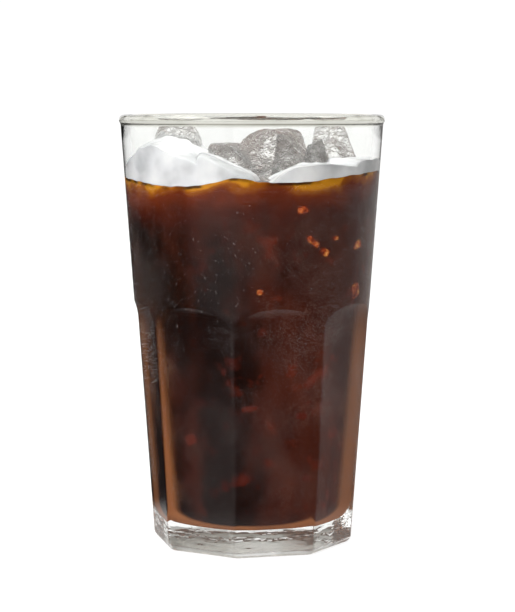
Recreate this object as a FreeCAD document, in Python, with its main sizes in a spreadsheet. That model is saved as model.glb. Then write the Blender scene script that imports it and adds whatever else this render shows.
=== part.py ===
"""Iced coffee in a tall pressed-glass tumbler.

The origin is at the centre of the foot, +Z is up and lengths are in millimetres. The tumbler is a
round, slightly conical wall with eight flats that end in arches below its upper half, a thick clear
bottom, a rounded foot and a fire-polished bead at the lip. The coffee fills its hollow up to the
level, and five pieces of ice float in it and stand out of it.
"""

import FreeCAD, Part
import Sketcher
import math
import os

from FreeCAD import Placement, Rotation, Vector

# Driving dimensions: alias, value and what it measures.
SIZES = [
    ("glass_height", 139.4, "from the table to the top of the lip"),
    ("rim_radius", 43.0, "to the outside of the bead, the widest place"),
    ("bead_radius", 1.65, "of the round bead along the lip"),
    ("rim_wall", 2.4, "thickness of the wall just below the bead"),
    ("foot_radius", 32.6, "of the round wall carried down to the table"),
    ("foot_round", 2.6, "of the edge between the wall and the underside"),
    ("foot_wall", 5.2, "thickness behind a flat at the table"),
    ("base_thickness", 8.0, "of clear glass under the coffee"),
    ("hollow_round", 6.0, "of the hollow's lower corner"),
    ("facet_count", 8, "flats round the lower wall"),
    ("facet_turn", 13.6, "degrees from +X to the middle of the first flat"),
    ("edge_relief", 0.15, "keeps a narrow round edge between two flats"),
    ("arch_springing", 72.9, "height at which a flat starts to curve outwards"),
    ("arch_round", 10.0, "of that curve, which draws the arch"),
    ("cutter_margin", 6.0, "reach of a cut beyond the wall"),
    ("level_below_rim", 20.4, "from the lip down to the coffee's surface"),
    ("fill_gap", 0.3, "between the coffee and the glass or the ice"),
    ("ice_below", 13.0, "from the coffee's surface down to the underside of the ice"),
    ("ice_wall_gap", 1.5, "between the ice and the glass at the ice's underside, where it is nearest"),
    ("ice_layout_radius", 35.2, "of the circle that the ice's places are given for"),
]

# Each piece of ice: its sides across and along, the outline of its top above the coffee's surface
# (left side, crest from one place to another, right side), the slanting cut of its upright corners and
# the round of all its edges. The corners of every piece lie inside the circle of ice_layout_radius.
ICE_COLUMNS = [
    "x_from", "x_to", "y_from", "y_to", "left_top", "crest", "crest_from", "crest_to", "right_top",
    "corner", "edge",
]
# Those that spread or shrink with the room inside the glass.
PLAN_COLUMNS = ["x_from", "x_to", "y_from", "y_to", "crest_from", "crest_to", "corner", "edge"]
ICE = {
    "ice_left": [-33.0, -12.2, -20.2, 12.0, 8.5, 15.8, -28.0, -19.0, 10.0, 8.0, 4.0],
    "ice_small": [-11.5, -1.2, -27.0, -9.5, 7.0, 10.0, -7.5, -4.0, 5.0, 2.8, 1.2],
    "ice_middle": [-4.8, 17.6, -8.6, 14.0, 8.5, 15.0, 4.5, 10.0, 9.5, 6.0, 2.0],
    "ice_right": [18.3, 34.2, -8.0, 12.8, 12.0, 16.0, 23.5, 29.5, 4.4, 4.5, 1.6],
    "ice_front": [-0.4, 28.6, -29.1, -9.4, 3.0, 5.4, 8.0, 22.0, 4.0, 9.0, 1.6],
}

SHEET = "sizes"
FULL_TURN = 360
DIRECTION_MARGIN = 1e-6

document = FreeCAD.newDocument("iced_coffee")


class Size:
    """A size with its present value and the expression that works it out from the sheet."""

    def __init__(self, value, text):
        self.value = value
        self.text = text

    def joined(self, sign, other, value):
        """The size that this one and another make together."""
        text = other.text if isinstance(other, Size) else repr(other)
        return Size(value, f"({self.text} {sign} {text})")

    def __add__(self, other):
        return self.joined("+", other, self.value + plain(other))

    def __sub__(self, other):
        return self.joined("-", other, self.value - plain(other))

    def __mul__(self, other):
        return self.joined("*", other, self.value * plain(other))

    def __truediv__(self, other):
        return self.joined("/", other, self.value / plain(other))

    def __neg__(self):
        return Size(-self.value, f"(0 - {self.text})")


def plain(size):
    """The number behind a size."""
    return size.value if isinstance(size, Size) else size


def write_sheet():
    """Fill the spreadsheet and give back its sizes by alias."""
    rows = list(SIZES)
    for piece, values in ICE.items():
        rows += [(f"{piece}_{column}", value, "") for column, value in zip(ICE_COLUMNS, values)]
    sheet = document.addObject("Spreadsheet::Sheet", SHEET)
    found = {}
    for number, (alias, value, meaning) in enumerate(rows, start=1):
        sheet.set(f"A{number}", alias)
        sheet.set(f"B{number}", str(value))
        sheet.set(f"C{number}", meaning)
        sheet.setAlias(f"B{number}", alias)
        found[alias] = Size(value, f"{SHEET}.{alias}")
    document.recompute()
    return found


def bind(thing, field, size):
    """Tie one field of an object to the sheet."""
    thing.setExpression(field, size.text)


def new_body(name):
    """An empty body, labelled with its node's name."""
    body = document.addObject("PartDesign::Body", name)
    body.Label = name
    return body


def origin_feature(body, role):
    """One of the planes or axes of a body's own origin."""
    return next(item for item in body.Origin.OriginFeatures if item.Role == role)


def upright_sketch(body, name):
    """A sketch on the body's own XZ plane: across is X, up is Z."""
    sketch = body.newObject("Sketcher::SketchObject", name)
    sketch.AttachmentSupport = [(origin_feature(body, "XZ_Plane"), "")]
    sketch.MapMode = "FlatFace"
    return sketch


def pin(sketch, geometry, vertex, corner):
    """Hold one point of the sketch at a corner's two sizes."""
    x_axis, y_axis, origin_point = -1, -2, 1
    for kind, axis, size in (("DistanceX", y_axis, corner[0]), ("DistanceY", x_axis, corner[1])):
        if plain(size) == 0:
            sketch.addConstraint(Sketcher.Constraint("PointOnObject", geometry, vertex, axis))
            continue
        number = sketch.addConstraint(
            Sketcher.Constraint(kind, x_axis, origin_point, geometry, vertex, plain(size))
        )
        bind(sketch, f"Constraints[{number}]", size)


def rounding(before, corner, after, radius):
    """Where a round of this radius leaves the two sides of a corner, and its centre."""
    to_before = (before - corner).normalize()
    to_after = (after - corner).normalize()
    half_angle = to_before.getAngle(to_after) / 2
    run = radius / math.tan(half_angle)
    middle = (to_before + to_after).normalize()
    centre = corner + middle * (radius / math.sin(half_angle))
    return corner + to_before * run, corner + to_after * run, centre


def arc_between(start, end, centre):
    """The short arc round a centre from one point to the other, and whether it runs start to end."""
    radius = (start - centre).Length
    angles = [math.atan2(point.y - centre.y, point.x - centre.x) for point in (start, end)]
    forward = (angles[1] - angles[0]) % (2 * math.pi) < math.pi
    if not forward:
        angles.reverse()
    circle = Part.Circle(centre, Vector(0, 0, 1), radius)
    return Part.ArcOfCircle(circle, angles[0], angles[1]), forward


def draw_outline(sketch, corners):
    """Draw a closed outline. A corner is (across, up) or (across, up, radius of its round)."""
    points = [Vector(plain(corner[0]), plain(corner[1]), 0) for corner in corners]
    count = len(points)
    leaves = []
    for i, corner in enumerate(corners):
        if len(corner) > 2:
            before, after = points[i - 1], points[(i + 1) % count]
            leaves.append(rounding(before, points[i], after, plain(corner[2])))
        else:
            leaves.append((points[i], points[i], None))
    start, end = 1, 2
    lines = []
    for i in range(count):
        side = Part.LineSegment(leaves[i][1], leaves[(i + 1) % count][0])
        lines.append(sketch.addGeometry(side, False))
    for i, corner in enumerate(corners):
        line_in, line_out = lines[i - 1], lines[i]
        if len(corner) == 2:
            sketch.addConstraint(Sketcher.Constraint("Coincident", line_in, end, line_out, start))
            pin(sketch, line_out, start, corner)
            continue
        arc, forward = arc_between(*leaves[i])
        bend = sketch.addGeometry(arc, False)
        first, last = (start, end) if forward else (end, start)
        sketch.addConstraint(Sketcher.Constraint("Tangent", line_in, end, bend, first))
        sketch.addConstraint(Sketcher.Constraint("Tangent", line_out, start, bend, last))
        number = sketch.addConstraint(Sketcher.Constraint("Radius", bend, plain(corner[2])))
        bind(sketch, f"Constraints[{number}]", corner[2])
        sharp = sketch.addGeometry(Part.Point(points[i]), True)
        sketch.addConstraint(Sketcher.Constraint("PointOnObject", sharp, start, line_in))
        sketch.addConstraint(Sketcher.Constraint("PointOnObject", sharp, start, line_out))
        pin(sketch, sharp, start, corner)
    document.recompute()
    if sketch.solve() != 0:
        raise RuntimeError(f"{sketch.Name} has no solution")


def turned(body, kind, name, corners):
    """A Revolution or Groove of an outline round the body's axis."""
    sketch = upright_sketch(body, f"{name}_outline")
    draw_outline(sketch, corners)
    feature = body.newObject(f"PartDesign::{kind}", name)
    feature.Profile = (sketch, [""])
    feature.ReferenceAxis = (sketch, ["V_Axis"])
    feature.Angle = FULL_TURN
    document.recompute()
    return feature


def share_up(low, high, height, full_height):
    """The radius at one height of a straight cone between two radii."""
    return low + (high - low) * (height / full_height)


def make_glass(size):
    """The tumbler: turned, cut with flats, hollowed and beaded."""
    body = new_body("glass")
    wall_top, outer_top, inner_top = size["wall_top"], size["outer_top"], size["inner_top"]
    foot, zero = size["foot_radius"], Size(0, "0")
    turned(body, "Revolution", "wall", [
        (zero, zero),
        (foot, zero, size["foot_round"]),
        (outer_top, wall_top),
        (zero, wall_top),
    ])

    cosine = size["half_flat_cosine"]
    arch_top = size["arch_springing"] + size["arch_round"]
    flat_high = share_up(foot, outer_top, arch_top, wall_top) * cosine + size["edge_relief"]
    beyond = size["rim_radius"] + size["cutter_margin"]
    below = -size["cutter_margin"]
    under = size["flat_foot"] - size["foot_round"] * 2
    sketch = upright_sketch(body, "flat_outline")
    draw_outline(sketch, [
        (under, zero),
        (size["flat_foot"], zero, size["foot_round"]),
        (flat_high, arch_top, size["arch_round"]),
        (beyond, arch_top),
        (beyond, below),
        (under, below),
    ])
    flat = body.newObject("PartDesign::Pocket", "flat")
    flat.Profile = (sketch, [""])
    flat.Type = "Length"
    flat.SideType = "Symmetric"
    bind(flat, "Length", size["rim_radius"] * 2)
    document.recompute()
    flats = body.newObject("PartDesign::PolarPattern", "flats")
    flats.Originals = [flat]
    flats.Axis = (origin_feature(body, "Z_Axis"), [""])
    flats.Angle = FULL_TURN
    bind(flats, "Occurrences", size["facet_count"])
    body.Tip = flats
    document.recompute()

    base = size["base_thickness"]
    turned(body, "Groove", "hollow", [
        (zero, base),
        (hollow_radius(size, base), base, size["hollow_round"]),
        (inner_top, wall_top),
        (zero, wall_top),
    ])
    sketch = upright_sketch(body, "bead_outline")
    centre = Vector(size["bead_centre"].value, wall_top.value, 0)
    radius = size["bead_radius"]
    ring = sketch.addGeometry(Part.Circle(centre, Vector(0, 0, 1), radius.value), False)
    number = sketch.addConstraint(Sketcher.Constraint("Radius", ring, radius.value))
    bind(sketch, f"Constraints[{number}]", radius)
    centre_vertex = 3
    pin(sketch, ring, centre_vertex, (size["bead_centre"], wall_top))
    bead = body.newObject("PartDesign::Revolution", "bead")
    bead.Profile = (sketch, [""])
    bead.ReferenceAxis = (sketch, ["V_Axis"])
    bead.Angle = FULL_TURN
    document.recompute()
    body.Placement = Placement(Vector(0, 0, 0), Rotation(Vector(0, 0, 1), size["facet_turn"].value))
    bind(body, "Placement.Rotation.Angle", size["facet_turn"])
    return body


def hollow_radius(size, height):
    """The inside radius of the glass at a height."""
    return share_up(size["inner_foot"], size["inner_top"], height, size["wall_top"])


def upright(edge):
    """Whether an edge runs straight up."""
    return abs(edge.tangentAt(edge.FirstParameter).z) > 1 - DIRECTION_MARGIN


def ice_sizes(size, piece):
    """A piece's own sizes, with those in plan scaled to the room inside the glass."""
    own = {column: size[f"{piece}_{column}"] for column in ICE_COLUMNS}
    for column in PLAN_COLUMNS:
        own[column] = own[column] * size["plan_scale"]
    return own


def make_block(size, piece, body_name, growth):
    """A block of ice before its edges are rounded: its front outline carried along Y, with its
    upright corners cut. A growth makes the larger block that the coffee leaves free for the ice.
    """
    own = ice_sizes(size, piece)
    level = size["level"]
    body = new_body(body_name)
    sketch = upright_sketch(body, f"{body_name}_outline")
    left, right = own["x_from"] - growth, own["x_to"] + growth
    bottom = level - size["ice_below"] - growth
    draw_outline(sketch, [
        (left, bottom),
        (right, bottom),
        (right, level + own["right_top"] + growth),
        (own["crest_to"], level + own["crest"] + growth),
        (own["crest_from"], level + own["crest"] + growth),
        (left, level + own["left_top"] + growth),
    ])
    back = own["y_to"] + growth
    sketch.AttachmentOffset = Placement(Vector(0, 0, -back.value), Rotation())
    bind(sketch, "AttachmentOffset.Base.z", -back)
    carried = body.newObject("PartDesign::Pad", f"{body_name}_carried")
    carried.Profile = (sketch, [""])
    bind(carried, "Length", back - (own["y_from"] - growth))
    document.recompute()
    blunt = body.newObject("PartDesign::Chamfer", f"{body_name}_blunt")
    blunt.Base = (carried, [
        f"Edge{number}" for number, edge in enumerate(carried.Shape.Edges, start=1) if upright(edge)
    ])
    bind(blunt, "Size", own["corner"])
    document.recompute()
    return body


def make_ice(size, piece):
    """A floating piece of ice: its block with every edge rounded."""
    body = make_block(size, piece, piece, Size(0, "0"))
    blunt = body.Tip
    rounded = body.newObject("PartDesign::Fillet", f"{piece}_rounded")
    rounded.Base = (blunt, [f"Edge{i + 1}" for i in range(len(blunt.Shape.Edges))])
    bind(rounded, "Radius", ice_sizes(size, piece)["edge"])
    document.recompute()
    return body


def make_coffee(size):
    """The coffee: the hollow's shape up to the level, less the room the ice takes."""
    body = new_body("coffee")
    gap, base, level = size["fill_gap"], size["base_thickness"], size["level"]
    zero = Size(0, "0")
    turned(body, "Revolution", "drink", [
        (zero, base),
        (hollow_radius(size, base) - gap, base, size["hollow_round"] + gap),
        (hollow_radius(size, level) - gap, level),
        (zero, level),
    ])
    room = [make_block(size, piece, f"{piece}_room", gap) for piece in ICE]
    cut = body.newObject("PartDesign::Boolean", "ice_room")
    cut.Type = "Cut"
    cut.setObjects(room)
    document.recompute()
    return body


def derived(size):
    """The sizes that follow from the driving ones."""
    half_flat = math.cos(math.radians(180 / size["facet_count"].value))
    size["half_flat_cosine"] = Size(half_flat, f"cos(180 / {SHEET}.facet_count)")
    size["wall_top"] = size["glass_height"] - size["bead_radius"]
    size["bead_centre"] = size["rim_radius"] - size["bead_radius"]
    size["outer_top"] = size["bead_centre"] + size["rim_wall"] / 2
    size["inner_top"] = size["bead_centre"] - size["rim_wall"] / 2
    size["flat_foot"] = size["foot_radius"] * size["half_flat_cosine"] + size["edge_relief"]
    size["inner_foot"] = size["flat_foot"] - size["foot_wall"]
    size["level"] = size["glass_height"] - size["level_below_rim"]
    ice_room = hollow_radius(size, size["level"] - size["ice_below"]) - size["ice_wall_gap"]
    size["plan_scale"] = ice_room / size["ice_layout_radius"]
    return size


def check_and_write(bodies):
    """Stop on anything that failed, then write each sub-part's file."""
    document.recompute()
    for item in document.Objects:
        if {"Invalid", "Error"} & set(item.State):
            raise RuntimeError(f"{item.Name} is {item.State}")
    for body in bodies:
        shape = body.Shape
        if shape.isNull() or not shape.isValid() or len(shape.Solids) != 1:
            raise RuntimeError(f"{body.Label} isn't one valid solid")
    os.makedirs("parts", exist_ok=True)
    for body in bodies:
        body.Shape.exportStep(f"parts/{body.Label}.step")
        box = body.Shape.BoundBox
        print(f"{body.Label}: {body.Shape.Volume / 1000:.1f} cm3, z {box.ZMin:.2f} to {box.ZMax:.2f}")


def main():
    size = derived(write_sheet())
    ice = [make_ice(size, piece) for piece in ICE]
    check_and_write([make_glass(size), make_coffee(size)] + ice)


main()
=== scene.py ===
"""Looks of the iced coffee: a clear faceted tumbler, dark coffee, floating ice and condensation.

Lengths are in metres, and the frame is the CAD model's: +Z up, the table at zero, the viewer at -Y.
"""

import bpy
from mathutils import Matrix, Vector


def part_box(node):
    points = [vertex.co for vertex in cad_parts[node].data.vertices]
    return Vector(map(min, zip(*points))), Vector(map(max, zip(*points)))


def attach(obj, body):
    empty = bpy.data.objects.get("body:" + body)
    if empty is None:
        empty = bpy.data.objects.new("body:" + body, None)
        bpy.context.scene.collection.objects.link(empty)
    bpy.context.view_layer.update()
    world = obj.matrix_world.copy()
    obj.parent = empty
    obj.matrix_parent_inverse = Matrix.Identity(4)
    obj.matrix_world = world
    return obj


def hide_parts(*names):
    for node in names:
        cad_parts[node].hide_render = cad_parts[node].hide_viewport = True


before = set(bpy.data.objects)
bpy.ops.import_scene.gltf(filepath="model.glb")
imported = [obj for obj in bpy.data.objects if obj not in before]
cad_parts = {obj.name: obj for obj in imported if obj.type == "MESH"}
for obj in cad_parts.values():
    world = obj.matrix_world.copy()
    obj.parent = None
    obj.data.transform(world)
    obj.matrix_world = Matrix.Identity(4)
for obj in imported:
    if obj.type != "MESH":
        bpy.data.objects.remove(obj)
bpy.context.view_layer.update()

import math

import bmesh
import bpy
import numpy as np
from mathutils import Vector, noise

MM = 0.001
FULL_TURN = 2 * math.pi

# The tumbler. Its height, its lip and the coffee's depth come from the CAD model.
GLASS_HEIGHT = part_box("glass")[1].z
RIM_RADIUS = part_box("glass")[1].x
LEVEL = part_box("coffee")[1].z
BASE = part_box("coffee")[0].z
BEAD_RADIUS = 1.65 * MM
RIM_WALL = 2.4 * MM
FOOT_RADIUS = 32.6 * MM
FOOT_ROUND = 2.6 * MM
FOOT_WALL = 5.2 * MM
HOLLOW_ROUND = 6.0 * MM
FLATS = 8
FLAT_TURN = math.radians(13.6)
EDGE_RELIEF = 0.15 * MM
EDGE_SOFTNESS = 0.32 * MM
ARCH_SPRINGING = 72.9 * MM
ARCH_ROUND = 10.0 * MM
ARCH_TOP = ARCH_SPRINGING + ARCH_ROUND

WALL_TOP = GLASS_HEIGHT - BEAD_RADIUS
BEAD_CENTRE = RIM_RADIUS - BEAD_RADIUS
OUTER_TOP = BEAD_CENTRE + RIM_WALL / 2
INNER_TOP = BEAD_CENTRE - RIM_WALL / 2
HALF_FLAT = math.pi / FLATS
INNER_FOOT = FOOT_RADIUS * math.cos(HALF_FLAT) + EDGE_RELIEF - FOOT_WALL

# What fills the glass reaches just into its wall, so that no air shows between them. The coffee hides
# ice that reaches less far than it does, and sunk ice reaches farther, so it shows.
INTO_WALL = 0.12 * MM
ICE_ON_WALL = 0.05 * MM
SUNK_ICE_INTO_WALL = 0.18 * MM
ICE_CLEARANCE = 0.4 * MM

# How the coffee's surface climbs at the wall, and where its wavy edge fades into the level surface.
MENISCUS = 0.45 * MM
MENISCUS_WIDTH = 0.9 * MM
WAVE_DEPTH = 5 * MM
WAVE_WIDTH = 2.5 * MM
WAVE_FADE = 16 * MM
# How deep the painted amber light under the coffee's surface reaches before it turns dark.
PAINTED_GLOW_DEPTH = 16 * MM

# The studio. The floor lies just under the glass, because faces in one plane would turn its foot black.
FLOOR_DROP = 0.15 * MM
FLOOR_RADIUS = 6
TABLE_GLOW = 0.86
RIGHT_GLOW_TURN = math.radians(50)
LEFT_GLOW_TURN = math.radians(-124)
LAMP_PLACE = (0.2, -0.3, 1.5)
LAMP_SIDE = 1.6
LAMP_POWER = 30
CAMERA_LENS = 126.8
CAMERA_PLACE = (0, -0.700, 0.1462)
CAMERA_AIM = (0.0018, 0, 0.0771)


# --- Node trees -------------------------------------------------------------------------------

class Term:
    """A value in a node tree that can be reckoned with like a number."""

    def __init__(self, tree, socket):
        self.tree = tree
        self.socket = socket

    def do(self, operation, *others):
        """Put this value through a maths node."""
        return maths(self.tree, operation, self, *others)

    def __add__(self, other):
        return self.do("ADD", other)

    def __radd__(self, other):
        return self.do("ADD", other)

    def __sub__(self, other):
        return self.do("SUBTRACT", other)

    def __rsub__(self, other):
        return maths(self.tree, "SUBTRACT", other, self)

    def __mul__(self, other):
        return self.do("MULTIPLY", other)

    def __truediv__(self, other):
        return self.do("DIVIDE", other)

    def __gt__(self, other):
        return self.do("GREATER_THAN", other)

    def __lt__(self, other):
        return self.do("LESS_THAN", other)

    def clamp(self):
        """The value kept between nothing and one."""
        return self.do("MINIMUM", 1.0).do("MAXIMUM", 0.0)

    def spread(self, low, high, to_low=0.0, to_high=1.0):
        """The value carried smoothly from one range to another, and kept inside it."""
        node = self.tree.nodes.new("ShaderNodeMapRange")
        node.interpolation_type = "SMOOTHSTEP"
        for name, value in (
            ("Value", self), ("From Min", low), ("From Max", high), ("To Min", to_low), ("To Max", to_high)
        ):
            feed(self.tree, value, node.inputs[name])
        return Term(self.tree, node.outputs["Result"])


def feed(tree, value, socket):
    """Give a socket a value or a link."""
    if isinstance(value, Term):
        tree.links.new(value.socket, socket)
    else:
        socket.default_value = value


def maths(tree, operation, *values):
    """One maths node."""
    node = tree.nodes.new("ShaderNodeMath")
    node.operation = operation
    for value, socket in zip(values, node.inputs):
        feed(tree, value, socket)
    return Term(tree, node.outputs[0])


def split(tree, vector):
    """The three parts of a vector."""
    node = tree.nodes.new("ShaderNodeSeparateXYZ")
    feed(tree, vector, node.inputs[0])
    return [Term(tree, socket) for socket in node.outputs]


def new_tree(kind, name, inputs, outputs):
    """A node tree with named inputs and outputs: its group input's terms and its group output."""
    tree = bpy.data.node_groups.new(name, kind)
    for label, socket_type, default in inputs:
        socket = tree.interface.new_socket(label, in_out="INPUT", socket_type=socket_type)
        if default is not None:
            socket.default_value = default
    for label, socket_type in outputs:
        tree.interface.new_socket(label, in_out="OUTPUT", socket_type=socket_type)
    entry = tree.nodes.new("NodeGroupInput")
    terms = {label: Term(tree, entry.outputs[label]) for label, _, _ in inputs}
    return tree, terms, tree.nodes.new("NodeGroupOutput")


def shape_with(tree, thing, **values):
    """Run a geometry tree on an object with its inputs set, and keep the plain mesh it makes."""
    modifier = thing.modifiers.new(tree.name, "NODES")
    modifier.node_group = tree
    for item in tree.interface.items_tree:
        key = item.name.replace(" ", "_").lower()
        if item.in_out == "INPUT" and key in values:
            modifier[item.identifier] = values[key]
    evaluated = thing.evaluated_get(bpy.context.evaluated_depsgraph_get())
    mesh = bpy.data.meshes.new_from_object(evaluated)
    thing.modifiers.remove(modifier)
    old = thing.data
    thing.data = mesh
    bpy.data.meshes.remove(old)
    mesh.name = thing.name
    return thing


# --- Shapes -----------------------------------------------------------------------------------

def hollow_radius(height):
    """The glass's inside radius at a height."""
    return INNER_FOOT + (INNER_TOP - INNER_FOOT) * height / WALL_TOP


def cone_radius(height):
    """The glass's outside radius at a height, before the flats are pressed."""
    return FOOT_RADIUS + (OUTER_TOP - FOOT_RADIUS) * height / WALL_TOP


def mesh_object(name, points, faces):
    """A smooth object with its place in its mesh."""
    mesh = bpy.data.meshes.new(name)
    mesh.from_pydata([tuple(point) for point in points], [], faces)
    mesh.shade_smooth()
    thing = bpy.data.objects.new(name, mesh)
    bpy.context.scene.collection.objects.link(thing)
    return thing


def turned(name, profile, angles):
    """A closed shell: a profile of (radius, height) points turned round the axis."""
    count, rings = len(angles), len(profile)
    radii, heights = np.array(profile).T
    across = radii[:, None] * np.cos(angles)[None]
    along = radii[:, None] * np.sin(angles)[None]
    up = np.repeat(heights[:, None], count, axis=1)
    points = np.stack([across, along, up], axis=2).reshape(-1, 3)
    points = np.concatenate([points, [[0, 0, heights[0]], [0, 0, heights[-1]]]])
    faces = []
    for i in range(rings - 1):
        low, high = i * count, (i + 1) * count
        for j in range(count):
            k = (j + 1) % count
            faces.append((low + j, low + k, high + k, high + j))
    first, last, top = rings * count, rings * count + 1, (rings - 1) * count
    for j in range(count):
        k = (j + 1) % count
        faces.append((first, k, j))
        faces.append((last, top + j, top + k))
    return mesh_object(name, points, faces)


def even_angles(count):
    """Directions spread evenly round the axis."""
    return np.arange(count) * FULL_TURN / count


def flat_angles():
    """Directions round the axis that lie closer together at the edges between the flats."""
    shares = np.concatenate([
        np.linspace(-1, -0.9, 9)[:-1], np.linspace(-0.9, 0.9, 40), np.linspace(0.9, 1, 9)[1:-1]
    ])
    turns = [FLAT_TURN + flat * 2 * HALF_FLAT + shares * HALF_FLAT for flat in range(FLATS)]
    return np.concatenate(turns)


def hollow_corner(spread):
    """The hollow's lower corner from the bottom up, moved outwards into the glass."""
    slope = math.atan((INNER_TOP - INNER_FOOT) / WALL_TOP)
    centre_height = BASE + HOLLOW_ROUND
    centre = hollow_radius(centre_height) - HOLLOW_ROUND / math.cos(slope)
    reach = HOLLOW_ROUND + spread
    turns = np.linspace(-math.pi / 2, -slope, 11)
    return [(centre + reach * math.cos(turn), centre_height + reach * math.sin(turn)) for turn in turns]


def tumbler_profile():
    """The tumbler's profile: underside, foot, outer wall, bead, inner wall and the hollow's bottom.

    Gives the number of points up to the bead too, which are those that the flats press.
    """
    foot = cone_radius(FOOT_ROUND) - FOOT_ROUND
    profile = [(foot * share, 0) for share in (0.15, 0.4, 0.65, 0.85)]
    for turn in np.linspace(0, math.pi / 2, 9):
        profile.append((foot + FOOT_ROUND * math.sin(turn), FOOT_ROUND * (1 - math.cos(turn))))
    join = math.acos(RIM_WALL / 2 / BEAD_RADIUS)
    bead_foot = WALL_TOP - BEAD_RADIUS * math.sin(join)
    heights = [
        *np.linspace(FOOT_ROUND, ARCH_SPRINGING - 1.5 * MM, 20)[1:],
        *np.linspace(ARCH_SPRINGING - 1.2 * MM, ARCH_TOP, 42),
        *np.linspace(ARCH_TOP + 3 * MM, bead_foot - 0.5 * MM, 14),
    ]
    profile += [(cone_radius(height), height) for height in heights]
    pressed = len(profile)
    for turn in np.linspace(-join, math.pi + join, 25):
        profile.append((BEAD_CENTRE + BEAD_RADIUS * math.cos(turn), WALL_TOP + BEAD_RADIUS * math.sin(turn)))
    corner = hollow_corner(0)
    heights = np.linspace(bead_foot - 0.5 * MM, corner[-1][1] + 2 * MM, 26)
    profile += [(hollow_radius(height), height) for height in heights]
    profile += reversed(corner)
    profile += [(corner[0][0] * share, BASE) for share in (0.75, 0.5, 0.25, 0.1)]
    return profile, pressed


def softer_least(first, second, softness):
    """The smaller of two terms, with the edge between them rounded."""
    mix = ((second - first) / softness * 0.5 + 0.5).clamp()
    return second * (1 - mix) + first * mix - softness * mix * (1 - mix)


def press_flats_tree(material):
    """Presses arched flats into the outer wall of a turned tumbler."""
    length = "NodeSocketFloat"
    tree, given, exit_node = new_tree("GeometryNodeTree", "press_flats", [
        ("Geometry", "NodeSocketGeometry", None),
        ("Flats", "NodeSocketInt", FLATS),
        ("Turn", length, FLAT_TURN),
        ("Foot Radius", length, FOOT_RADIUS),
        ("Lip Radius", length, OUTER_TOP),
        ("Wall Height", length, WALL_TOP),
        ("Foot Round", length, FOOT_ROUND),
        ("Arch Springing", length, ARCH_SPRINGING),
        ("Arch Round", length, ARCH_ROUND),
        ("Edge Relief", length, EDGE_RELIEF),
        ("Edge Softness", length, EDGE_SOFTNESS),
    ], [("Geometry", "NodeSocketGeometry")])
    place = Term(tree, tree.nodes.new("GeometryNodeInputPosition").outputs[0])
    x, y, z = split(tree, place)
    height = z.do("MAXIMUM", given["Foot Round"])
    foot, lip = given["Foot Radius"], given["Lip Radius"]
    cone = foot + (lip - foot) * height / given["Wall Height"]
    half = maths(tree, "DIVIDE", math.pi, given["Flats"])
    turned_by = y.do("ARCTAN2", x) - given["Turn"] + half
    from_flat = turned_by.do("FLOORED_MODULO", half * 2) - half
    rise = (height - given["Arch Springing"]).do("MAXIMUM", 0.0).do("MINIMUM", given["Arch Round"])
    round_squared = given["Arch Round"] * given["Arch Round"]
    curve = given["Arch Round"] - (round_squared - rise * rise).do("MAXIMUM", 0.0).do("SQRT")
    depth = cone * half.do("COSINE") + given["Edge Relief"] + curve
    nearer = depth / from_flat.do("COSINE")
    farther = depth / (half * 2 - from_flat.do("ABSOLUTE")).do("COSINE")
    flats = softer_least(nearer, farther, given["Edge Softness"])
    pressed = softer_least(flats, cone, given["Edge Softness"])
    mask = tree.nodes.new("GeometryNodeInputNamedAttribute")
    mask.data_type = "FLOAT"
    mask.inputs["Name"].default_value = "pressed"
    radius = (x * x + y * y).do("SQRT").do("MAXIMUM", 0.01 * MM)
    scale = 1 - (cone - pressed) * Term(tree, mask.outputs["Attribute"]) / radius
    joined = tree.nodes.new("ShaderNodeCombineXYZ")
    for socket, term in zip(joined.inputs, (x * scale, y * scale, z)):
        feed(tree, term, socket)
    move = tree.nodes.new("GeometryNodeSetPosition")
    feed(tree, given["Geometry"], move.inputs["Geometry"])
    feed(tree, Term(tree, joined.outputs[0]), move.inputs["Position"])
    end_tree(tree, move.outputs["Geometry"], material, exit_node)
    return tree


def end_tree(tree, geometry, material, exit_node):
    """End a geometry tree in real meshes with their material."""
    real = tree.nodes.new("GeometryNodeRealizeInstances")
    tree.links.new(geometry, real.inputs["Geometry"])
    painted = tree.nodes.new("GeometryNodeSetMaterial")
    painted.inputs["Material"].default_value = material
    tree.links.new(real.outputs["Geometry"], painted.inputs["Geometry"])
    tree.links.new(painted.outputs["Geometry"], exit_node.inputs["Geometry"])


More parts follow.
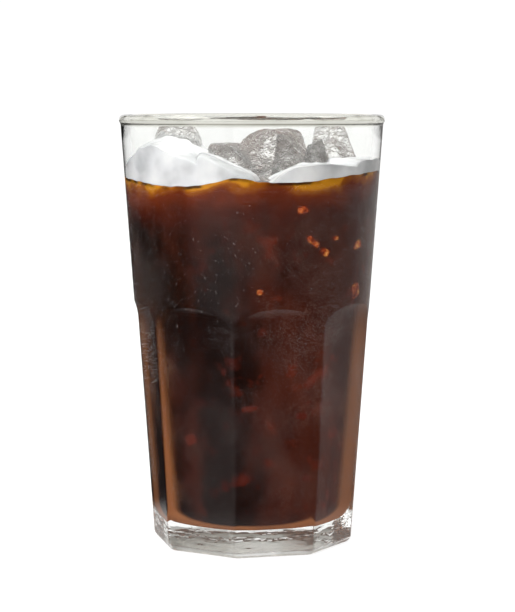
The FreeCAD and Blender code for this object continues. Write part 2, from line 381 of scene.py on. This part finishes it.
def droplets_tree(material):
    """Scatters small drops over the outer wall below the coffee's level, thicker in some patches."""
    length = "NodeSocketFloat"
    tree, given, exit_node = new_tree("GeometryNodeTree", "condensation", [
        ("Geometry", "NodeSocketGeometry", None),
        ("Density", length, 200000.0),
        ("Least Size", length, 0.1 * MM),
        ("Greatest Size", length, 0.4 * MM),
        ("Lowest", length, 0.0),
        ("Highest", length, LEVEL),
        ("Fade", length, 20 * MM),
        ("Patch Scale", length, 30.0),
        ("Seed", "NodeSocketInt", 1),
    ], [("Geometry", "NodeSocketGeometry")])
    place = Term(tree, tree.nodes.new("GeometryNodeInputPosition").outputs[0])
    facing = Term(tree, tree.nodes.new("GeometryNodeInputNormal").outputs[0])
    x, y, z = split(tree, place)
    across, along, _ = split(tree, facing)
    outward = (x * across + y * along) > 0.01
    patches = tree.nodes.new("ShaderNodeTexNoise")
    feed(tree, place, patches.inputs["Vector"])
    feed(tree, given["Patch Scale"], patches.inputs["Scale"])
    patch = Term(tree, patches.outputs[0]).spread(0.36, 0.62)
    inside = z.spread(given["Lowest"], given["Lowest"] + given["Fade"]) * (z < given["Highest"])
    points = tree.nodes.new("GeometryNodeDistributePointsOnFaces")
    feed(tree, given["Geometry"], points.inputs["Mesh"])
    feed(tree, given["Density"] * patch * inside * outward, points.inputs["Density"])
    feed(tree, given["Seed"], points.inputs["Seed"])
    drop = tree.nodes.new("GeometryNodeMeshIcoSphere")
    drop.inputs["Radius"].default_value = 1.0
    drop.inputs["Subdivisions"].default_value = 1
    smooth = tree.nodes.new("GeometryNodeSetShadeSmooth")
    tree.links.new(drop.outputs["Mesh"], smooth.inputs["Geometry"])
    chance = tree.nodes.new("FunctionNodeRandomValue")
    chance.data_type = "FLOAT"
    feed(tree, given["Seed"], chance.inputs["Seed"])
    share = Term(tree, chance.outputs[1])
    share = share * share * share
    size = given["Least Size"] + (given["Greatest Size"] - given["Least Size"]) * share
    scale = tree.nodes.new("ShaderNodeCombineXYZ")
    for socket, term in zip(scale.inputs, (size, size, size * 0.5)):
        feed(tree, term, socket)
    copies = tree.nodes.new("GeometryNodeInstanceOnPoints")
    tree.links.new(points.outputs["Points"], copies.inputs["Points"])
    tree.links.new(smooth.outputs["Geometry"], copies.inputs["Instance"])
    tree.links.new(points.outputs["Rotation"], copies.inputs["Rotation"])
    tree.links.new(scale.outputs[0], copies.inputs["Scale"])
    end_tree(tree, copies.outputs["Instances"], material, exit_node)
    return tree


def coffee_profile():
    """The coffee's profile: it reaches just into the glass, and its surface climbs at the wall."""
    corner = hollow_corner(INTO_WALL)
    profile = [(corner[0][0] * share, corner[0][1]) for share in (0.1, 0.4, 0.7)] + corner
    for height in np.linspace(corner[-1][1] + 1 * MM, LEVEL + MENISCUS, 60):
        profile.append((hollow_radius(height) + INTO_WALL, height))
    edge = hollow_radius(LEVEL)
    for inward in (0.1, 0.3, 0.6, 1.0, 1.5, 2.2, 3.2, 4.5):
        profile.append((edge - inward * MM, LEVEL + MENISCUS * math.exp(-inward * MM / MENISCUS_WIDTH)))
    profile += [(edge * share, LEVEL) for share in (0.8, 0.65, 0.5, 0.35, 0.2, 0.08)]
    return profile


# The swells of the ice's uneven skin: their size and their depth, in millimetres.
ICE_SKIN = [(7, 1.1), (3, 0.45), (1.3, 0.13)]


def chunk(centre, planes, seed, sharpness=14, melt=0.5, detail=5):
    """Points and faces of a chunk of ice: flat breaks with melted edges and an uneven skin.

    A plane is (x, y, z, distance from the centre in millimetres).
    """
    ball = bmesh.new()
    bmesh.ops.create_icosphere(ball, subdivisions=detail, radius=1)
    ways = np.array([vertex.co[:] for vertex in ball.verts])
    faces = [tuple(vertex.index for vertex in face.verts) for face in ball.faces]
    ball.free()
    ways /= np.linalg.norm(ways, axis=1)[:, None]
    planes = np.array(planes, float)
    normals = planes[:, :3] / np.linalg.norm(planes[:, :3], axis=1)[:, None]
    nearness = np.maximum(ways @ normals.T / planes[None, :, 3], 0)
    reach = np.sum(nearness**sharpness, axis=1) ** (-1 / sharpness)
    offset = Vector((seed * 17.3, seed * 5.1, seed * 11.7))
    points = ways * reach[:, None]
    for i, point in enumerate(points):
        swell = sum(noise.noise(Vector(point) / size + offset) * depth for size, depth in ICE_SKIN)
        points[i] = point * (1 + melt * swell / reach[i])
    return points + np.array(centre), faces


def ice_object(name, chunks, wall_gap=ICE_CLEARANCE):
    """Chunks of ice in one object, kept inside the glass by a gap. A negative gap reaches into its wall."""
    all_points, all_faces, start = [], [], 0
    for settings in chunks:
        points, faces = chunk(**settings)
        all_points.append(points)
        all_faces += [tuple(start + index for index in face) for face in faces]
        start += len(points)
    points = np.concatenate(all_points) * MM
    radii = np.maximum(np.hypot(points[:, 0], points[:, 1]), 1e-6)
    points[:, :2] *= np.minimum(1, (hollow_radius(points[:, 2]) - wall_gap) / radii)[:, None]
    return mesh_object(name, points, all_faces)


# How far the coffee climbs the wall in front, or dips below its level there, from left to right: across
# and up, in millimetres.
COFFEE_EDGE = [
    (-38, 0.2), (-34, -0.9), (-26, -2.1), (-19, -1.8), (-12, -0.9), (-6, 1.2), (-1, 0.5),
    (4, -0.6), (10, -0.2), (16, -0.6), (21, 0.2), (26, 0.7), (35, 1.8), (38, 2.6),
]


def wave_edge(drink):
    """Let the coffee's edge climb and dip along the wall, and store the climb for the coffee's colours."""
    mesh = drink.data
    points = np.empty(len(mesh.vertices) * 3)
    mesh.vertices.foreach_get("co", points)
    points = points.reshape(-1, 3)
    x, y, z = points.T.copy()
    across, up = np.array(COFFEE_EDGE, float).T
    near = [np.interp(x / MM + shift, across, up) for shift in np.linspace(-2.5, 2.5, 9)]
    ripple = np.array([noise.noise(Vector((a, b, 0)) / (3.5 * MM)) for a, b in zip(x, y)])
    in_front = np.clip(0.5 - y / WAVE_FADE, 0, 1)
    climb = (np.mean(near, axis=0) + ripple * 0.35) * MM * in_front
    radii = np.hypot(x, y)
    inward = np.clip(hollow_radius(z) - radii, 0, None)
    share = np.clip((z - LEVEL + WAVE_DEPTH) / WAVE_DEPTH, 0, 1) * np.exp(-inward / WAVE_WIDTH)
    points[:, 2] = z + climb * share
    on_side = (radii > hollow_radius(z) + INTO_WALL / 2) & (z > BASE + HOLLOW_ROUND)
    scale = (hollow_radius(points[:, 2]) + INTO_WALL) / np.maximum(radii, 1e-6)
    points[:, :2] *= np.where(on_side, scale, 1)[:, None]
    mesh.vertices.foreach_set("co", points.ravel())
    stored = mesh.attributes.new("climb", "FLOAT", "POINT")
    stored.data.foreach_set("value", climb)


# --- Materials --------------------------------------------------------------------------------

def cloud_group():
    """A cloudy pattern in object coordinates, placed in each material with its own fineness and stretch."""
    tree, given, exit_node = new_tree("ShaderNodeTree", "cloud", [
        ("Scale", "NodeSocketFloat", 100.0),
        ("Detail", "NodeSocketFloat", 3.0),
        ("Roughness", "NodeSocketFloat", 0.5),
        ("Stretch", "NodeSocketVector", (1.0, 1.0, 1.0)),
    ], [("Value", "NodeSocketFloat")])
    place = tree.nodes.new("ShaderNodeTexCoord")
    mapping = tree.nodes.new("ShaderNodeMapping")
    tree.links.new(place.outputs["Object"], mapping.inputs["Vector"])
    feed(tree, given["Stretch"], mapping.inputs["Scale"])
    texture = tree.nodes.new("ShaderNodeTexNoise")
    tree.links.new(mapping.outputs["Vector"], texture.inputs["Vector"])
    for name in ("Scale", "Detail", "Roughness"):
        feed(tree, given[name], texture.inputs[name])
    tree.links.new(texture.outputs[0], exit_node.inputs["Value"])
    return tree


CLOUD = cloud_group()


class Paint:
    """A material with one shader, and short ways to place and join its nodes."""

    def __init__(self, name, **values):
        self.material = bpy.data.materials.new(name)
        self.material.use_nodes = True
        self.tree = self.material.node_tree
        self.shader = self.tree.nodes["Principled BSDF"]
        for label, value in values.items():
            socket = self.shader.inputs[label.replace("_", " ")]
            socket.default_value = (*value, 1) if isinstance(value, tuple) else value

    def place(self):
        """The object coordinates."""
        return Term(self.tree, self.tree.nodes.new("ShaderNodeTexCoord").outputs["Object"])

    def noise(self, scale, detail=3.0, roughness=0.5, stretch=(1.0, 1.0, 1.0)):
        """The cloud group's value."""
        node = self.tree.nodes.new("ShaderNodeGroup")
        node.node_tree = CLOUD
        values = {"Scale": scale, "Detail": detail, "Roughness": roughness, "Stretch": stretch}
        for name, value in values.items():
            node.inputs[name].default_value = value
        return Term(self.tree, node.outputs["Value"])

    def attribute(self, name):
        """A value stored on the mesh."""
        node = self.tree.nodes.new("ShaderNodeAttribute")
        node.attribute_name = name
        return Term(self.tree, node.outputs["Fac"])

    def ramp(self, value, stops):
        """A colour ramp: stops are (place, colour)."""
        node = self.tree.nodes.new("ShaderNodeValToRGB")
        feed(self.tree, value, node.inputs["Fac"])
        elements = node.color_ramp.elements
        while len(elements) < len(stops):
            elements.new(0.5)
        for element, (position, colour) in zip(elements, stops):
            element.position = position
            element.color = (*colour, 1)
        return Term(self.tree, node.outputs["Color"])

    def mix(self, share, first, second):
        """Two colours mixed by a share."""
        node = self.tree.nodes.new("ShaderNodeMix")
        node.data_type = "RGBA"
        feed(self.tree, share, node.inputs[0])
        for socket, colour in ((node.inputs[6], first), (node.inputs[7], second)):
            feed(self.tree, (*colour, 1) if isinstance(colour, tuple) else colour, socket)
        return Term(self.tree, node.outputs[2])

    def link(self, **values):
        """Feed patterns to the shader's sockets."""
        for label, value in values.items():
            feed(self.tree, value, self.shader.inputs[label.replace("_", " ")])

    def bump(self, height, distance, strength=1.0):
        """Bend the shader's normal by a pattern."""
        node = self.tree.nodes.new("ShaderNodeBump")
        node.inputs["Distance"].default_value = distance
        node.inputs["Strength"].default_value = strength
        feed(self.tree, height, node.inputs["Height"])
        self.tree.links.new(node.outputs["Normal"], self.shader.inputs["Normal"])


def srgb(red, green, blue):
    """A colour given in the 0 to 255 steps of a screen."""
    steps = [value / 255 for value in (red, green, blue)]
    return tuple(((step + 0.055) / 1.055) ** 2.4 if step > 0.04 else step / 12.92 for step in steps)


def tumbler_glass():
    """Clear pressed glass: a tinted lip, a fogged wall and an uneven, lightly scuffed foot."""
    paint = Paint("tumbler_glass", Transmission_Weight=1.0, IOR=1.5)
    _, _, height = split(paint.tree, paint.place())
    lip = height.spread(WALL_TOP - 2.4 * MM, WALL_TOP - 1.2 * MM)
    paint.link(Base_Color=paint.mix(lip, (0.957, 0.963, 0.952), (0.74, 0.735, 0.68)))
    fogged = height.spread(LEVEL, LEVEL - 3 * MM) * height.spread(BASE, 30 * MM)
    cloud = paint.noise(45, 3.0).spread(0.35, 0.7, 0.15, 1.0)
    grain = paint.noise(2200, 2.0).spread(0.45, 0.6)
    scuffed = height.spread(3.2 * MM, 1.0 * MM) * 0.38
    paint.link(Roughness=fogged * cloud * (grain * 0.08 + 0.03) + scuffed)
    ripple = paint.noise(190, 2.0, 0.5, (0.7, 0.7, 2.6)) * height.spread(10 * MM, 6 * MM) * 4.0
    paint.bump(fogged * cloud * grain + ripple, 0.14 * MM, 0.6)
    return paint.material


def black_coffee():
    """Black coffee with painted light: amber just under its surface and a pale glow where seen at a slant,
    over reddish brown below.
    """
    paint = Paint("black_coffee", Roughness=0.6, Specular_IOR_Level=0.0)
    x, _, height = split(paint.tree, paint.place())
    wander = paint.noise(85, 3.0).spread(0.25, 0.75, -2.6 * MM, 2.6 * MM)
    below = LEVEL + paint.attribute("climb") - height
    # Painted light: amber near the surface, where light shines through a thin layer of coffee, darkening with
    # depth.
    depth = (below + wander) / PAINTED_GLOW_DEPTH
    painted_light_near_surface = paint.ramp(depth, [
        (0.0, srgb(186, 124, 28)),
        (0.06, srgb(142, 78, 20)),
        (0.2, srgb(98, 38, 16)),
        (0.5, srgb(66, 24, 13)),
        (1.0, srgb(40, 15, 10)),
    ])
    # Painted light deeper down: glowing streaks and reddish glints where light comes through ice in the
    # coffee, and a lighter right side, where more light falls.
    painted_glow_streaks = paint.noise(38, 4.0, 0.6, (1.0, 1.0, 0.45)).spread(0.44, 0.70)
    painted_red_glints = paint.noise(150, 3.0, 0.6).spread(0.55, 0.72)
    deep_with_painted_light = paint.mix(painted_glow_streaks * 0.5 + x.spread(-6 * MM, 36 * MM) * 0.6, srgb(21, 8, 6), srgb(84, 38, 25))
    deep_with_painted_light = paint.mix(painted_red_glints * 0.45 * x.spread(-30 * MM, 20 * MM), deep_with_painted_light, srgb(124, 42, 24))
    # Painted light: a pale glow at the coffee's sides where seen at a slant, standing for light through a
    # thinner layer there; weaker high up, stronger on the right.
    slant = paint.tree.nodes.new("ShaderNodeLayerWeight")
    slant.inputs["Blend"].default_value = 0.5
    painted_side_glow = Term(paint.tree, slant.outputs["Facing"]).spread(0.285, 0.42)
    painted_side_glow = painted_side_glow * (height.spread(86 * MM, 60 * MM, 0.1, 0.6) + x.spread(0.0, 20 * MM, 0.0, 0.15))
    deep_with_painted_light = paint.mix(painted_side_glow, deep_with_painted_light, srgb(170, 108, 68))
    # Painted shade: a broken dark line just under the coffee's edge at the wall.
    painted_meniscus_shade = below.spread(0.75 * MM, 0.15 * MM) * paint.noise(95, 2.0).spread(0.42, 0.55)
    painted_light_near_surface = paint.mix(painted_meniscus_shade * 0.9, painted_light_near_surface, srgb(34, 15, 12))
    seen = paint.mix(depth.spread(0.45, 1.0), painted_light_near_surface, deep_with_painted_light)
    # Painted highlights: pale specks over the coffee's body, mostly on the right, standing for drops on the
    # glass that catch the light.
    painted_dew_glints = paint.noise(2300, 2.0, 0.6).spread(0.46, 0.70) * paint.noise(45, 3.0).spread(0.35, 0.62)
    fogged = height.spread(BASE, 45 * MM) * depth.spread(0.2, 0.9) * x.spread(-10 * MM, 30 * MM, 0.05, 0.4)
    paint.link(Base_Color=paint.mix(painted_dew_glints * fogged, seen, srgb(150, 116, 106)))
    return paint.material


def coffee_surface():
    """The coffee's open surface, dark and glossy."""
    paint = Paint("coffee_surface", Roughness=0.03, IOR=1.34)
    paint.link(Base_Color=paint.ramp(paint.noise(120, 3.0), [
        (0.35, srgb(44, 20, 12)), (0.7, srgb(96, 52, 22))
    ]))
    return paint.material


def coffee_underside():
    """The coffee's flat underside, painted pale beige: painted light from the table, which reaches it through
    the foot.
    """
    paint = Paint("coffee_underside", Roughness=0.8, Specular_IOR_Level=0.0)
    paint.link(Base_Color=paint.ramp(paint.noise(60, 3.0), [
        (0.35, (0.66, 0.61, 0.53)), (0.7, (0.86, 0.83, 0.78))
    ]))
    return paint.material


def clear_ice():
    """Clear wet ice with fine cracks and a little cloud in it."""
    paint = Paint("clear_ice", Transmission_Weight=0.9, IOR=1.31, Roughness=0.02)
    swirl = paint.noise(170, 3.0, 0.6)
    lines = (paint.noise(260, 3.0, 0.55, (1.0, 1.0, 1.8)) - 0.5).do("ABSOLUTE").spread(0.0, 0.06, 1.0, 0.0)
    haze = paint.ramp(paint.noise(210, 4.0, 0.6), [
        (0.36, (0.86, 0.85, 0.83)), (0.5, (0.95, 0.95, 0.945)), (0.62, (0.99, 0.99, 0.99))
    ])
    paint.link(Base_Color=paint.mix(lines * 0.75, haze, (0.42, 0.40, 0.37)))
    paint.bump(swirl - lines * 0.12, 2.0 * MM, 0.9)
    return paint.material


def frosted_ice():
    """Cloudy ice, white and softly wet; its grey patches are cloud in the ice and painted soft shade as well.
    """
    paint = Paint("frosted_ice", IOR=1.31, Roughness=0.22, Transmission_Weight=0.25)
    cloud = paint.noise(75, 3.0, 0.45)
    paint.link(Base_Color=paint.ramp(cloud, [
        (0.36, (0.60, 0.61, 0.63)), (0.5, (0.86, 0.87, 0.89)), (0.62, (0.98, 0.985, 0.99))
    ]))
    paint.bump(cloud, 2.5 * MM, 0.4)
    return paint.material


def lit_ice():
    """Ice under the coffee's surface, painted amber with the light that comes through the coffee to it, and
    painted dark red lower down, where less light reaches.
    """
    paint = Paint("lit_ice", Roughness=0.4, IOR=1.31, Specular_IOR_Level=0.1)
    _, _, height = split(paint.tree, paint.place())
    cloud = paint.noise(420, 3.0, 0.65)
    painted_glint = paint.ramp(cloud, [
        (0.42, srgb(96, 36, 20)), (0.54, srgb(190, 78, 34)), (0.66, srgb(246, 176, 88))
    ])
    paint.link(Base_Color=paint.mix(height.spread(105 * MM, 60 * MM), painted_glint, srgb(80, 27, 16)))
    return paint.material


def dew():
    """Water drops."""
    paint = Paint("dew", Base_Color=(0.99, 0.99, 0.99), Transmission_Weight=1.0, IOR=1.33, Roughness=0.02)
    return paint.material


# --- Pieces -----------------------------------------------------------------------------------

def finish_piece(thing, slot, *nodes, material=None):
    """Give a piece its material and its body, and hide the CAD parts it replaces."""
    if material:
        thing.data.materials.append(material)
    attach(thing, "root")
    if nodes:
        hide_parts(*nodes)
    return thing


def build_glass():
    """The tumbler, and the condensation on its outside."""
    profile, pressed = tumbler_profile()
    angles = flat_angles()
    tumbler = turned("tumbler", profile, angles)
    foot = cone_radius(FOOT_ROUND) - FOOT_ROUND
    shares = [min(1, radius / foot) for radius, _ in profile[:pressed]] + [0] * (len(profile) - pressed)
    mask = tumbler.data.attributes.new("pressed", "FLOAT", "POINT")
    mask.data.foreach_set("value", np.append(np.repeat(shares, len(angles)), [0, 0]))
    glass = tumbler_glass()
    shape_with(press_flats_tree(glass), tumbler, flats=FLATS)
    drops = bpy.data.objects.new("condensation", tumbler.data.copy())
    bpy.context.scene.collection.objects.link(drops)
    shape_with(
        droplets_tree(dew()), drops, density=420000.0, least_size=0.09 * MM, greatest_size=0.26 * MM,
        lowest=45 * MM, highest=LEVEL - 3 * MM, fade=20 * MM, patch_scale=22.0, seed=7,
    )
    finish_piece(tumbler, "glass", "glass")
    finish_piece(drops, "glass")


def build_coffee():
    """The coffee: its side, its open surface and its underside each have their own finish."""
    drink = turned("drink", coffee_profile(), even_angles(240))
    drink.data.materials.append(black_coffee())
    drink.data.materials.append(coffee_surface())
    drink.data.materials.append(coffee_underside())
    for face in drink.data.polygons:
        up = face.normal.z
        face.material_index = 1 if up > 0.2 else 2 if up < -0.95 else 0
    wave_edge(drink)
    finish_piece(drink, "coffee", "coffee")


def build_ice():
    """The ice that stands out of the coffee. Only the frosted ice lies against the wall."""
    top = LEVEL / MM
    clear, frosted = clear_ice(), frosted_ice()
    left = ice_object("frosted_ice_left", [
        dict(centre=(-23.5, -17, top + 2), seed=1, sharpness=6, melt=1.0, detail=6, planes=[
            (-1, 0, 0, 17), (1, 0, 0.15, 16), (0, -1, 0, 24), (0, 1, 0, 14), (0.1, 0, 1, 10.8),
            (0, 0, -1, 12),
            (-0.7, 0, 0.7, 13.5), (0.6, -0.1, 0.8, 11.0), (0, -0.5, 0.85, 13),
        ]),
    ], wall_gap=-ICE_ON_WALL)
    cap = ice_object("clear_ice_left", [
        dict(centre=(-23.5, -6, top + 6.6), seed=2, planes=[
            (-1, 0, 0.1, 8.2), (1, 0, 0.1, 8.2), (0, -1, 0.2, 8), (0, 1, 0, 9), (0, 0, 1, 10.0),
            (0, 0, -1, 9),
            (-0.7, -0.2, 0.8, 9.6), (0.9, 0, 0.6, 8.8),
        ]),
    ])
    small = ice_object("clear_ice_small", [
        dict(centre=(-6.4, -15, top + 1), seed=3, planes=[
            (-1, 0, 0, 7.6), (1, 0, 0, 6.4), (0, -1, 0, 9), (0, 1, 0, 8), (0, 0, 1, 10.0), (0, 0, -1, 9),
            (0.7, -0.2, 0.75, 7.6), (-0.5, -0.5, 0.7, 9.5),
        ]),
    ])
    small_front = ice_object("frosted_ice_small", [
        dict(centre=(-7.5, -25, top - 1.0), seed=12, sharpness=6, melt=0.9, detail=6, planes=[
            (-1, 0, 0, 9), (1, 0, 0, 9.5), (0, -1, 0, 13), (0, 1, 0, 5), (0.42, 0, 1, 6.2), (0, 0, -1, 8),
        ]),
    ], wall_gap=-ICE_ON_WALL)
    middle = ice_object("clear_ice_middle", [
        dict(centre=(6.8, 2, top + 2), seed=4, sharpness=16, melt=0.8, planes=[
            (-1, -0.1, 0.1, 11.5), (1, 0.1, 0.1, 12.2), (0.1, -1, 0.2, 11), (0, 1, 0, 11), (0.05, 0, 1, 12.0),
            (0, 0, -1, 13), (-0.55, -0.2, 0.8, 10.4), (0.62, -0.25, 0.72, 11.6), (0.3, -0.8, 0.5, 10.6),
            (-0.4, -0.8, 0.4, 10.2),
        ]),
        dict(centre=(11.5, -5, top + 4), seed=8, sharpness=18, melt=0.4, planes=[
            (-1, 0.2, 0, 4.2), (1, 0.2, 0.1, 5.2), (0, -1, 0.2, 5), (0, 1, 0, 5),
            (0.2, 0, 1, 7.8), (0, 0, -1, 8),
            (0.7, -0.3, 0.7, 5.6), (-0.6, -0.5, 0.5, 5.6),
        ]),
    ])
    right = ice_object("clear_ice_right", [
        dict(centre=(26.2, 2, top + 3), seed=5, sharpness=26, melt=0.3, planes=[
            (-1, 0.1, 0.12, 7.6), (0.92, 0, 0.42, 8.6), (-0.1, -1, 0.22, 8.6), (0, 1, 0.2, 10),
            (0.05, 0, 1, 13.0),
            (0, 0, -1, 14), (-0.5, -0.7, 0.5, 8.8), (0.62, -0.7, 0.35, 8.0), (-0.75, -0.1, 0.65, 10.6),
            (0.2, -0.75, 0.7, 10.4),
        ]),
        dict(centre=(20.6, -3, top + 3), seed=9, sharpness=18, melt=0.4, planes=[
            (-1, 0.2, 0.2, 3.6), (1, 0.2, 0.1, 4.2), (0, -1, 0.2, 5), (0, 1, 0, 5),
            (-0.2, 0, 1, 7.6), (0, 0, -1, 8),
            (0.6, -0.5, 0.5, 4.6),
        ]),
    ])
    front = ice_object("frosted_ice_front", [
        dict(centre=(19, -22, top - 2.2), seed=6, sharpness=7, melt=0.9, detail=6, planes=[
            (-1, 0, 0, 19), (1, 0, 0, 20), (0, -1, 0, 20), (0, 1, 0, 11), (0.05, 0, 1, 7.4), (0, 0, -1, 8),
            (-0.5, 0, 0.85, 9.0),
        ]),
        dict(centre=(31, -12, top - 1), seed=10, sharpness=8, melt=0.6, planes=[
            (-1, 0, 0, 7), (1, 0, 0, 12), (0, -1, 0, 10), (0, 1, 0, 9), (0, 0, 1, 7.4), (0, 0, -1, 8),
        ]),
    ], wall_gap=-ICE_ON_WALL)
    finish_piece(left, "ice", "ice_left", material=frosted)
    finish_piece(cap, "ice", material=clear)
    finish_piece(small, "ice", "ice_small", material=clear)
    finish_piece(small_front, "ice", material=frosted)
    finish_piece(middle, "ice", "ice_middle", material=clear)
    finish_piece(right, "ice", "ice_right", material=clear)
    finish_piece(front, "ice", "ice_front", material=frosted)


# Where sunk ice shows through the wall: across, height, half its width, half its height and its slant.
SUNK_ICE = [
    (15.3, 110.6, 1.6, 1.1, 0.1), (18.4, 100.4, 2.6, 0.9, -0.7), (21.6, 97.2, 1.8, 1.0, -0.4),
    (25.0, 101.2, 1.2, 0.6, 0.0), (31.4, 98.6, 2.2, 1.2, 0.2), (30.6, 84.0, 2.2, 2.4, 0.3),
    (2.3, 85.0, 0.7, 0.7, 0.0), (-1.0, 48.0, 2.6, 0.7, 0.1), (15.0, 45.0, 2.2, 1.2, 0.0),
    (16.8, 24.8, 2.0, 1.0, 0.0), (-18.4, 37.0, 2.2, 1.6, 0.4),
]


def build_sunk_ice():
    """Bits of ice under the surface, each lying flat against the wall at its place."""
    chunks = []
    for number, (across, up, half_width, half_height, slant) in enumerate(SUNK_ICE):
        wall = hollow_radius(up * MM) / MM
        along = -math.sqrt(wall**2 - across**2)
        out = np.array([across, along, 0]) / wall
        side = np.array([-out[1], out[0], 0])
        rise = np.array([0, 0, 1])
        wide = side * math.cos(slant) + rise * math.sin(slant)
        tall = rise * math.cos(slant) - side * math.sin(slant)
        planes = [(*way, reach) for way, reach in (
            (wide, half_width), (-wide, half_width), (tall, half_height), (-tall, half_height),
            (out, 0.9), (-out, 2.0),
        )]
        centre = np.array([across, along, up]) - out * 0.3
        chunks.append(dict(
            centre=tuple(centre), planes=planes, seed=20 + number, sharpness=5, melt=0.35, detail=4
        ))
    finish_piece(ice_object("sunk_ice", chunks, wall_gap=-SUNK_ICE_INTO_WALL), "ice", material=lit_ice())


# --- Studio -----------------------------------------------------------------------------------

def first_mirror(tree):
    """Whether a ray comes straight from a reflection, and not through anything clear."""
    path = tree.nodes.new("ShaderNodeLightPath")
    mirrored = Term(tree, path.outputs["Glossy Depth"]) > 0.5
    return mirrored * (Term(tree, path.outputs["Transmission Depth"]) < 0.5)


def build_room():
    """A bright room with dark screens between its windows and a dark ceiling."""
    world = bpy.data.worlds.new("bright_room")
    world.use_nodes = True
    tree = world.node_tree
    way = Term(tree, tree.nodes.new("ShaderNodeTexCoord").outputs["Generated"])
    x, y, z = split(tree, way)
    path = tree.nodes.new("ShaderNodeLightPath")
    seen = Term(tree, path.outputs["Is Camera Ray"])
    screens = (y.do("ARCTAN2", x) * 8).do("COSINE").spread(-1.0, -0.7, 0.12, 1.0)
    ceiling = z.spread(0.26, 0.5, 1.0, 0.45)
    window = (x * -0.5 - y * 0.7 + z * 0.5).spread(0.80, 0.94)
    scattered = Term(tree, path.outputs["Diffuse Depth"]) > 0.5
    light = screens * ceiling + window * (scattered * 8 + 1.4)
    light = light + (1.05 - light) * seen
    background = tree.nodes["Background"]
    colour = tree.nodes.new("ShaderNodeValToRGB")
    feed(tree, light, colour.inputs["Fac"])
    colour.color_ramp.elements[0].color = (0.86, 0.84, 0.68, 1)
    colour.color_ramp.elements[1].color = (1, 1, 1, 1)
    tree.links.new(colour.outputs["Color"], background.inputs["Color"])
    feed(tree, light, background.inputs["Strength"])
    bpy.context.scene.world = world


def light_table():
    """A pale table lit from below, that the glass mirrors as a dim one with a glow to each side."""
    paint = Paint("light_table", Roughness=0.9, Specular_IOR_Level=0.0)
    x, y, _ = split(paint.tree, paint.place())
    mirrored = first_mirror(paint.tree)
    around = y.do("ARCTAN2", x)
    right = (around - RIGHT_GLOW_TURN).do("COSINE").spread(0.55, 1.0)
    left = (around - LEFT_GLOW_TURN).do("COSINE").spread(0.86, 1.0)
    near = (x * x + y * y).do("SQRT").spread(0.05, 0.085, 0.6, 0.0)
    dim = 0.02 + right * 0.33 + left * 0.3 + near
    paint.link(Base_Color=paint.mix(mirrored, (0.16, 0.16, 0.16), (0.0, 0.0, 0.0)))
    paint.link(Emission_Color=paint.mix(mirrored, (1.0, 1.0, 1.0), (1.0, 0.98, 0.96)))
    paint.link(Emission_Strength=TABLE_GLOW + (dim - TABLE_GLOW) * mirrored)
    paint.material.cycles.emission_sampling = "NONE"
    return paint.material


def build_studio():
    """A pale table and a soft light from above."""
    scene = bpy.context.scene
    bpy.ops.mesh.primitive_circle_add(vertices=96, radius=FLOOR_RADIUS, fill_type="NGON")
    floor = bpy.context.object
    floor.name = "floor"
    floor.location.z = -FLOOR_DROP
    floor.data.materials.append(light_table())
    light = bpy.data.lights.new("top_light", "AREA")
    light.shape = "RECTANGLE"
    light.size, light.size_y, light.energy = LAMP_SIDE, LAMP_SIDE, LAMP_POWER
    lamp = bpy.data.objects.new("top_light", light)
    lamp.location = LAMP_PLACE
    lamp.rotation_euler = (Vector((0, 0, 0.07)) - lamp.location).to_track_quat("-Z", "Y").to_euler()
    lamp.visible_glossy = lamp.visible_camera = lamp.visible_transmission = False
    scene.collection.objects.link(lamp)
    scene.view_settings.view_transform = "Standard"


def build_camera():
    """The camera, a little above the lip and looking slightly down."""
    data = bpy.data.cameras.new("camera")
    data.lens = CAMERA_LENS
    camera = bpy.data.objects.new("camera", data)
    camera.location = CAMERA_PLACE
    camera.rotation_euler = (Vector(CAMERA_AIM) - camera.location).to_track_quat("-Z", "Y").to_euler()
    bpy.context.scene.collection.objects.link(camera)
    bpy.context.scene.camera = camera


build_glass()
build_coffee()
build_ice()
build_sunk_ice()
build_room()
build_studio()
build_camera()
